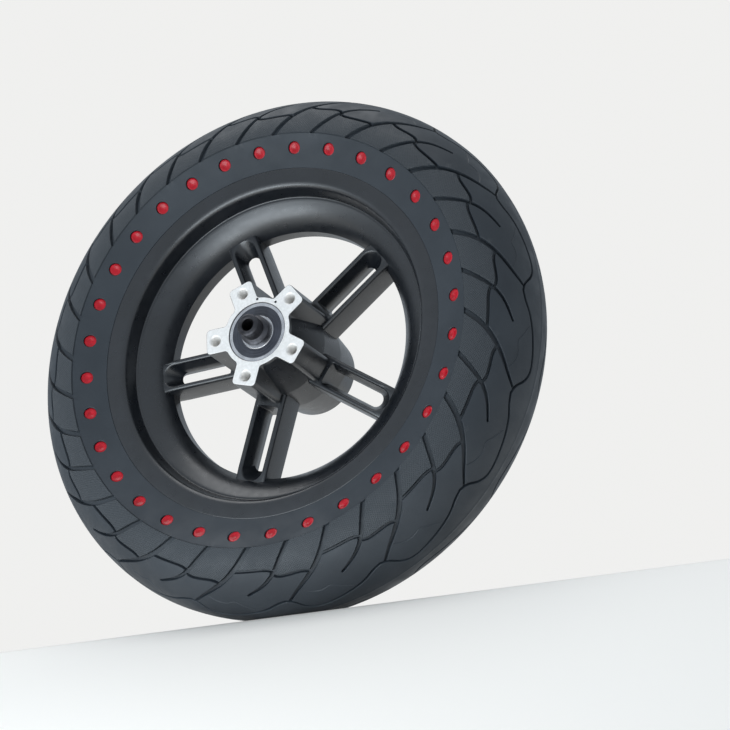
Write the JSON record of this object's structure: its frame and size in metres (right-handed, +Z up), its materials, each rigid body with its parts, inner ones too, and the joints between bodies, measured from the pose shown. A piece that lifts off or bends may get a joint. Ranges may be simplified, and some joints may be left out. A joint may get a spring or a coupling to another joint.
{
  "type": "scooter wheel",
  "caption": "Small solid-tyre scooter wheel with coloured side inserts, a slotted-spoke cast centre with a brake-disc mount, and a threaded axle in sealed ball bearings.",
  "frame": {"origin": "centre of the wheel: on the axle's axis, midway between the tyre's two sides", "axes": "+Y along the axle, away from the brake-disc side; the brake-disc side faces -Y; +Z up; +X to the right when the brake-disc side is seen from the front"},
  "size_m": [0.216, 0.074, 0.216],
  "materials": {
    "tyre_rubber": "satin moulded rubber, smooth sidewall and finely meshed shoulder blocks",
    "red_insert": "glossy red",
    "black_casting": "satin black paint over cast aluminium; disc seat machined bright",
    "blackened_steel": "blackened turned steel",
    "spacer_steel": "zinc-plated drawn tube",
    "bearing_steel": "ground and polished",
    "cage_steel": "pressed sheet",
    "seal_rubber": "satin moulded rubber"
  },
  "bodies": {
    "axle_set": {"axle": "blackened_steel", "bearing_spacer": "spacer_steel", "front_inner_ring": "bearing_steel", "rear_inner_ring": "bearing_steel"},
    "wheel": {"wheel_casting": "black_casting", "tyre": "tyre_rubber", "front_inserts": "red_insert", "rear_inserts": "red_insert", "front_outer_ring": "bearing_steel", "rear_outer_ring": "bearing_steel", "front_outer_seal": "seal_rubber", "front_inner_seal": "seal_rubber", "rear_outer_seal": "seal_rubber", "rear_inner_seal": "seal_rubber"},
    "front_ball_set": {"front_balls": "bearing_steel", "front_cage_outer_half": "cage_steel", "front_cage_inner_half": "cage_steel", "front_cage_rivets": "cage_steel"},
    "rear_ball_set": {"rear_balls": "bearing_steel", "rear_cage_outer_half": "cage_steel", "rear_cage_inner_half": "cage_steel", "rear_cage_rivets": "cage_steel"}
  },
  "joints": [
    {"name": "wheel_spin", "type": "hinge", "parent": "axle_set", "child": "wheel", "pos_m": [0, 0, 0], "axis": [0, 1, 0], "continuous": true},
    {"name": "front_balls_orbit", "type": "hinge", "parent": "axle_set", "child": "front_ball_set", "pos_m": [0, -0.0252, 0], "axis": [0, 1, 0], "continuous": true},
    {"name": "rear_balls_orbit", "type": "hinge", "parent": "axle_set", "child": "rear_ball_set", "pos_m": [0, 0.0226, 0], "axis": [0, 1, 0], "continuous": true}
  ],
  "couplings": [
    {"joint": "front_balls_orbit", "follows": "wheel_spin", "ratio": 0.5882},
    {"joint": "rear_balls_orbit", "follows": "wheel_spin", "ratio": 0.5882}
  ]
}
